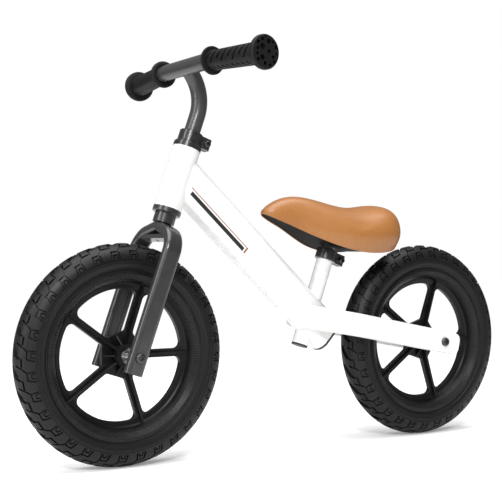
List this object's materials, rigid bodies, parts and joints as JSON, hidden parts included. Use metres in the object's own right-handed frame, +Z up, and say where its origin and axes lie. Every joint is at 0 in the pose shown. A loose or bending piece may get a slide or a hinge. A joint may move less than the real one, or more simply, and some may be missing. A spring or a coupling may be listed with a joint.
{
  "type": "balance bike",
  "caption": "Child's balance bike with no pedals: flat-sided diagonal frame, straight fork, moulded spoked wheels, T-shaped sliding handlebar and padded saddle on a sliding post.",
  "frame": {"origin": "on the ground, midway between the wheels, in the bike's middle plane", "axes": "+X forward along the bike, +Y to the rider's left, +Z up"},
  "size_m": [0.811, 0.3592, 0.5542],
  "materials": {
    "frame_paint": "smooth glossy white powder coat",
    "fork_paint": "glossy dark grey paint",
    "bar_paint": "satin dark grey paint",
    "clamp_paint": "satin black paint",
    "bearing_steel": "ground steel",
    "bolt_steel": "black oxide steel",
    "axle_steel": "zinc plated steel",
    "rim_plastic": "moulded black plastic with a low gloss",
    "tyre_foam": "solid foam, finely moulded",
    "grip_rubber": "moulded soft rubber",
    "saddle_cover": "smooth tan synthetic leather over foam",
    "base_plastic": "grained black plastic",
    "plug_plastic": "black plastic"
  },
  "bodies": {
    "frame": {"head_tube": "frame_paint", "down_tube": "frame_paint", "down_tube_plug": "plug_plastic", "seat_tube": "frame_paint", "seat_tube_plug": "plug_plastic", "chain_stay_left": "frame_paint", "chain_stay_right": "frame_paint", "seat_clamp": "clamp_paint", "seat_clamp_screw": "bolt_steel", "seat_clamp_nut": "bolt_steel", "headset_lower_cup": "fork_paint", "headset_lower_balls": "bearing_steel", "headset_upper_cup": "clamp_paint", "headset_upper_balls": "bearing_steel", "rear_axle": "axle_steel", "rear_axle_sleeve": "axle_steel", "rear_axle_spacers": "axle_steel", "rear_axle_bolts": "bolt_steel", "rear_bearing_inner_rings": "bearing_steel"},
    "fork": {"fork_leg_left": "fork_paint", "fork_leg_right": "fork_paint", "fork_bridge": "fork_paint", "fork_neck": "fork_paint", "steerer_tube": "fork_paint", "headset_upper_cone": "clamp_paint", "handlebar_clamp": "clamp_paint", "handlebar_clamp_screw": "bolt_steel", "handlebar_clamp_nut": "bolt_steel", "front_axle": "axle_steel", "front_axle_sleeve": "axle_steel", "front_axle_spacers": "axle_steel", "front_axle_bolts": "bolt_steel", "front_bearing_inner_rings": "bearing_steel"},
    "handlebar": {"handlebar_stem": "bar_paint", "handlebar_crossbar": "bar_paint", "grip_left": "grip_rubber", "grip_right": "grip_rubber"},
    "seat": {"seat_post": "axle_steel", "saddle_base": "base_plastic", "saddle_pad": "saddle_cover", "saddle_bolt": "bolt_steel", "saddle_nut": "bolt_steel"},
    "front_wheel": {"front_tyre": "tyre_foam", "front_rim": "rim_plastic", "front_spokes": "rim_plastic", "front_bearing_outer_rings": "bearing_steel", "front_bearing_balls": "bearing_steel", "front_bearing_seals": "bearing_steel"},
    "rear_wheel": {"rear_tyre": "tyre_foam", "rear_rim": "rim_plastic", "rear_spokes": "rim_plastic", "rear_bearing_outer_rings": "bearing_steel", "rear_bearing_balls": "bearing_steel", "rear_bearing_seals": "bearing_steel"}
  },
  "joints": [
    {"name": "steering", "type": "hinge", "parent": "frame", "child": "fork", "pos_m": [0.258, 0, 0.1475], "axis": [-0.3305, 0, 0.9438], "continuous": true},
    {"name": "front_wheel_spin", "type": "hinge", "parent": "fork", "child": "front_wheel", "pos_m": [0.258, 0, 0.1475], "axis": [0, 1, 0], "continuous": true},
    {"name": "rear_wheel_spin", "type": "hinge", "parent": "frame", "child": "rear_wheel", "pos_m": [-0.258, 0, 0.1475], "axis": [0, 1, 0], "continuous": true},
    {"name": "handlebar_height", "type": "slide", "parent": "fork", "child": "handlebar", "axis": [-0.3305, 0, 0.9438], "range_m": [-0.02, 0.035]},
    {"name": "seat_height", "type": "slide", "parent": "frame", "child": "seat", "axis": [-0.3404, 0, 0.9403], "range_m": [0, 0.07]}
  ]
}
